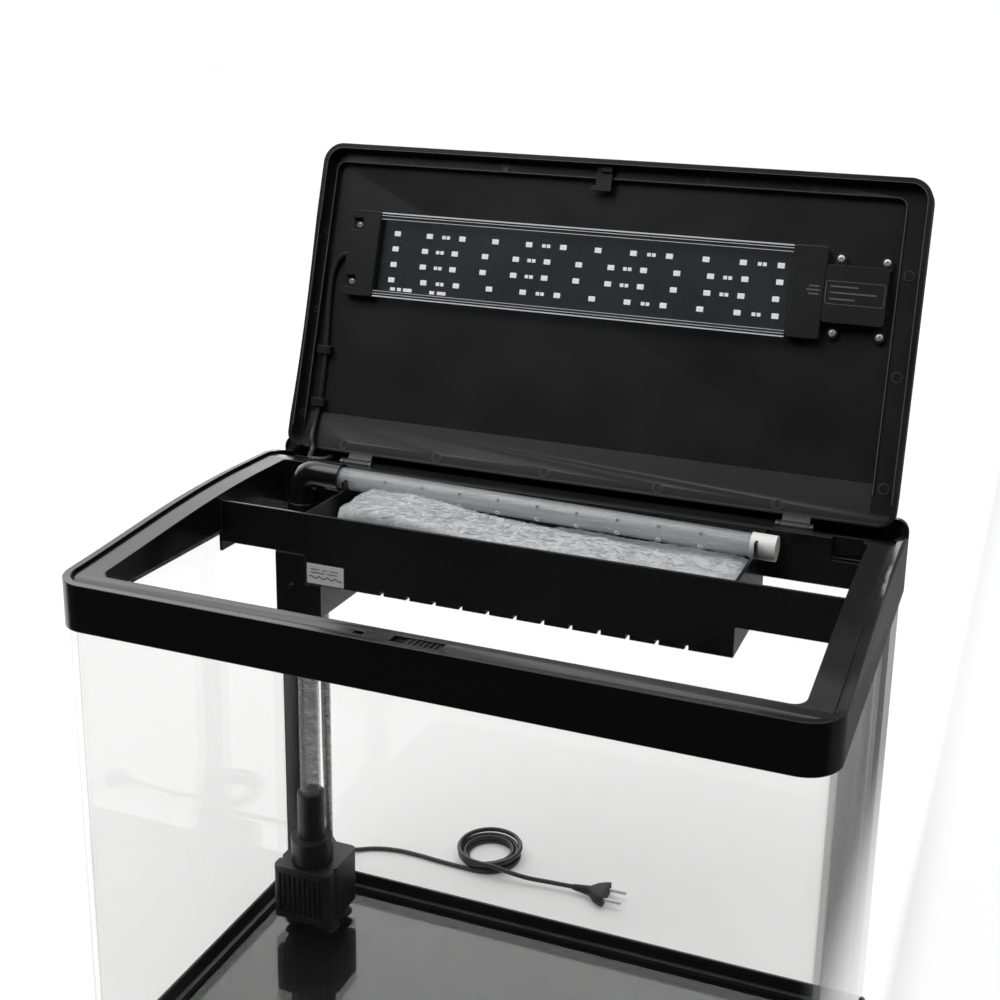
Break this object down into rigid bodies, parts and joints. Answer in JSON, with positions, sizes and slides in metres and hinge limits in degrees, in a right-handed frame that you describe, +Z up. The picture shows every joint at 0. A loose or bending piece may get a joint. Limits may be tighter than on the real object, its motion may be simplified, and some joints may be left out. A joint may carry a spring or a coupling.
{
  "type": "glass aquarium tank",
  "caption": "Bent-front glass aquarium with black frames, open lamp hood, drop-in filter trough, spray bar and riser pump.",
  "frame": {"origin": "centre of the base frame's flat underside", "axes": "+X to the right seen from the bent front, +Y to the back, +Z up"},
  "size_m": [0.61, 0.5037, 0.787],
  "materials": {
    "gloss_black": "gloss",
    "satin_black": "satin",
    "glass": "polished",
    "clear_plastic": "gloss",
    "clear_tube": "gloss",
    "silicone": "satin",
    "rubber": "matte",
    "lead_jacket": "satin",
    "white_plastic": "satin",
    "label_film": "gloss",
    "filter_floss": "matte",
    "magnet": "satin",
    "steel": "satin",
    "led_board": "satin"
  },
  "bodies": {
    "tank": {"top_frame": "gloss_black", "bent_glass": "glass", "back_glass": "glass", "floor_glass": "glass", "floor_silicone": "silicone", "silicone_seam_left": "silicone", "silicone_seam_right": "silicone", "base_frame": "gloss_black", "filter_trough": "gloss_black", "media_grid": "satin_black", "filter_wool": "filter_floss", "return_chamber": "gloss_black", "level_label": "label_film", "elbow": "gloss_black", "elbow_collar": "gloss_black", "riser_pipe": "clear_plastic", "riser_coupling": "satin_black", "air_tube": "clear_tube", "air_tube_clip": "clear_plastic", "pump_body": "satin_black", "pump_strainer": "satin_black", "impeller_shaft": "steel", "pump_gland": "rubber", "suction_cup_1": "rubber", "suction_cup_2": "rubber", "suction_cup_3": "rubber", "suction_cup_4": "rubber", "lamp_lead_root": "lead_jacket", "lead_grommet": "rubber", "lamp_lead": "lead_jacket", "lamp_lead_coil": "lead_jacket", "lamp_lead_tail": "lead_jacket", "lamp_plug": "lead_jacket"},
    "hood": {"hood_shell": "satin_black", "hinge_pin_left": "steel", "hinge_pin_right": "steel", "hood_catch_tab": "satin_black", "lamp_cap_left": "gloss_black", "lamp_cap_right": "gloss_black", "lamp_driver": "gloss_black", "lamp_board": "led_board", "lamp_cover": "clear_plastic", "lead_clip_upper": "satin_black", "lead_clip_lower": "satin_black", "lamp_lead_hood": "lead_jacket", "lamp_screw_1": "steel", "lamp_screw_2": "steel", "lamp_screw_3": "steel", "lamp_screw_4": "steel", "lamp_screw_5": "steel", "lamp_screw_6": "steel"},
    "spray_bar": {"spray_bar": "clear_plastic", "spray_bar_cap": "white_plastic"},
    "impeller": {"impeller": "magnet"},
    "slide_catch": {"slide_catch": "gloss_black"}
  },
  "joints": [
    {"name": "hood_hinge", "type": "hinge", "parent": "tank", "child": "hood", "pos_m": [0, 0.1441, 0.4926], "axis": [1, 0, 0], "range_deg": [0, 110.4]},
    {"name": "spray_bar_swivel", "type": "hinge", "parent": "tank", "child": "spray_bar", "pos_m": [-0.214, 0.1, 0.494], "axis": [0.9999, 0, -0.0154], "range_deg": [-60, 60]},
    {"name": "impeller_spin", "type": "hinge", "parent": "tank", "child": "impeller", "pos_m": [-0.2425, 0.1, 0.055], "axis": [0, 1, 0], "continuous": true},
    {"name": "catch_slide", "type": "slide", "parent": "tank", "child": "slide_catch", "axis": [1, 0, 0], "range_m": [-0.0095, 0]}
  ]
}
